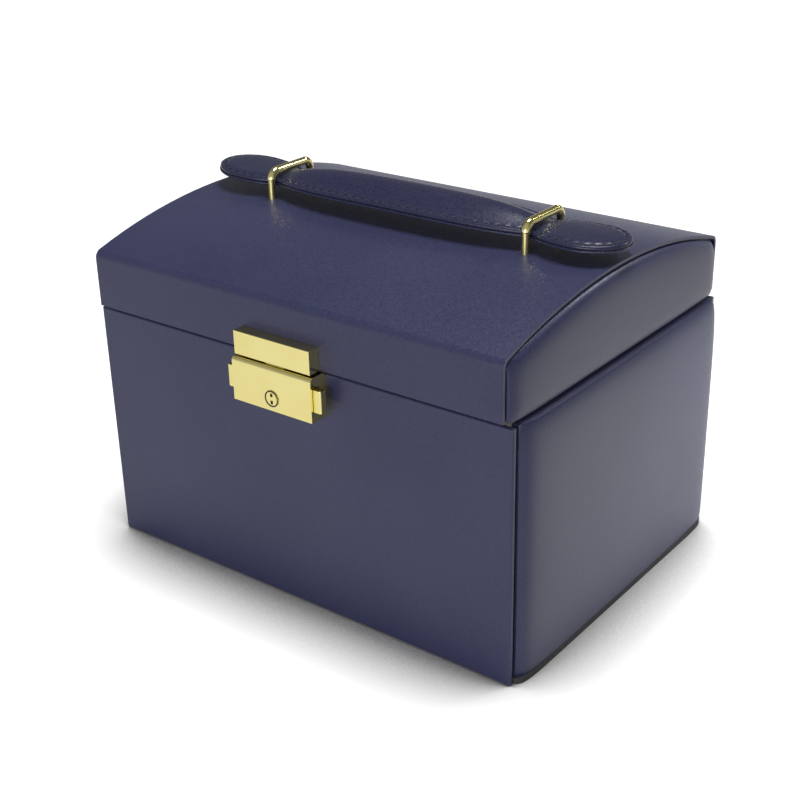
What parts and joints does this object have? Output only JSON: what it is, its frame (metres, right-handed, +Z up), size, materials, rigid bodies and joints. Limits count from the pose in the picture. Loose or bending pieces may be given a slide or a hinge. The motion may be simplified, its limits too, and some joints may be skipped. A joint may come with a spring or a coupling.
{
  "type": "leather jewellery case",
  "caption": "Leather-covered jewellery case with an arched hinged lid, push-button lock, strap handle held by wire loops, mirror, and a tray that the lid lifts.",
  "frame": {"origin": "centre of the underside of the base, on the surface the case stands on", "axes": "+X along the front to the right, +Y to the hinged back, +Z up"},
  "size_m": [0.229, 0.1815, 0.1683],
  "materials": {
    "case_leather": "smooth navy leather with a soft pearl sheen",
    "strap_leather": "smooth darker navy leather, stitched",
    "base_paper": "matt dark covering cloth",
    "lining_suede": "pale suede cloth",
    "pad_velvet": "pale velvet over foam",
    "gold_plate": "polished pale gold plating",
    "plain_steel": "plain bright steel",
    "mirror_glass": "silvered glass"
  },
  "bodies": {
    "case": {"base_cover": "base_paper", "base_board": "base_paper", "front_board": "case_leather", "back_board": "case_leather", "side_board_left": "case_leather", "side_board_right": "case_leather", "liner_front": "lining_suede", "liner_back": "lining_suede", "liner_left": "lining_suede", "liner_right": "lining_suede", "floor_pad": "pad_velvet", "divider_long": "lining_suede", "divider_cross": "lining_suede", "hinge_case_leaf_left": "gold_plate", "hinge_case_leaf_right": "gold_plate", "hinge_pins": "gold_plate", "hinge_screws_case": "gold_plate", "lock_case": "gold_plate", "lock_back_plate": "plain_steel", "lock_rivets": "plain_steel", "button_springs": "plain_steel", "arm_pivots": "gold_plate"},
    "lid": {"lid_skin": "case_leather", "lid_end_left": "case_leather", "lid_end_right": "case_leather", "lid_liner_front": "lining_suede", "lid_liner_back": "lining_suede", "lid_liner_left": "lining_suede", "lid_liner_right": "lining_suede", "lid_ceiling": "lining_suede", "mirror": "mirror_glass", "mirror_frame": "lining_suede", "hinge_lid_leaf_left": "gold_plate", "hinge_lid_leaf_right": "gold_plate", "hinge_screws_lid": "gold_plate", "hasp_block": "gold_plate", "hasp_tongue": "plain_steel", "hasp_rivets": "plain_steel", "handle_loop_left": "gold_plate", "handle_loop_right": "gold_plate", "loop_plates": "plain_steel", "loop_nuts": "plain_steel", "lid_bracket_left": "gold_plate", "lid_bracket_right": "gold_plate", "bracket_screws": "gold_plate"},
    "arm_left": {"arm_left": "gold_plate"},
    "arm_right": {"arm_right": "gold_plate"},
    "tray": {"tray_shell": "lining_suede", "tray_divider_long": "lining_suede", "tray_divider_cross": "lining_suede", "ring_rolls": "pad_velvet", "tray_pads": "pad_velvet", "tray_pivots": "gold_plate"},
    "button_left": {"button_left": "gold_plate"},
    "button_right": {"button_right": "gold_plate"},
    "key_plug": {"key_plug": "gold_plate"},
    "handle": {"strap_upper": "strap_leather", "strap_lining": "strap_leather"}
  },
  "joints": [
    {"name": "lid_hinge", "type": "hinge", "parent": "case", "child": "lid", "pos_m": [0, 0.0872, 0.1151], "axis": [-1, 0, 0], "range_deg": [0, 95]},
    {"name": "arm_left_swing", "type": "hinge", "parent": "case", "child": "arm_left", "pos_m": [-0.1029, -0.0078, 0.1071], "axis": [-1, 0, 0], "range_deg": [0, 95]},
    {"name": "arm_right_swing", "type": "hinge", "parent": "case", "child": "arm_right", "pos_m": [0.1029, -0.0078, 0.1071], "axis": [-1, 0, 0], "range_deg": [0, 95]},
    {"name": "tray_level", "type": "hinge", "parent": "arm_left", "child": "tray", "pos_m": [-0.1029, -0.0423, 0.0951], "axis": [-1, 0, 0], "range_deg": [-95, 0]},
    {"name": "button_left_press", "type": "slide", "parent": "case", "child": "button_left", "axis": [1, 0, 0], "range_m": [0, 0.0025], "stiffness_N_per_m": 400, "springref_m": -0.001, "deforming": ["button_springs"]},
    {"name": "button_right_press", "type": "slide", "parent": "case", "child": "button_right", "axis": [-1, 0, 0], "range_m": [0, 0.0025], "stiffness_N_per_m": 400, "springref_m": -0.001},
    {"name": "key_turn", "type": "hinge", "parent": "case", "child": "key_plug", "pos_m": [0, -0.0921, 0.1011], "axis": [0, 1, 0], "range_deg": [0, 90]},
    {"name": "handle_lift", "type": "slide", "parent": "lid", "child": "handle", "axis": [0, 0, 1], "range_m": [-0.0045, 0]}
  ],
  "couplings": [
    {"joint": "arm_left_swing", "follows": "lid_hinge", "ratio": 1},
    {"joint": "arm_right_swing", "follows": "lid_hinge", "ratio": 1},
    {"joint": "tray_level", "follows": "lid_hinge", "ratio": -1}
  ]
}
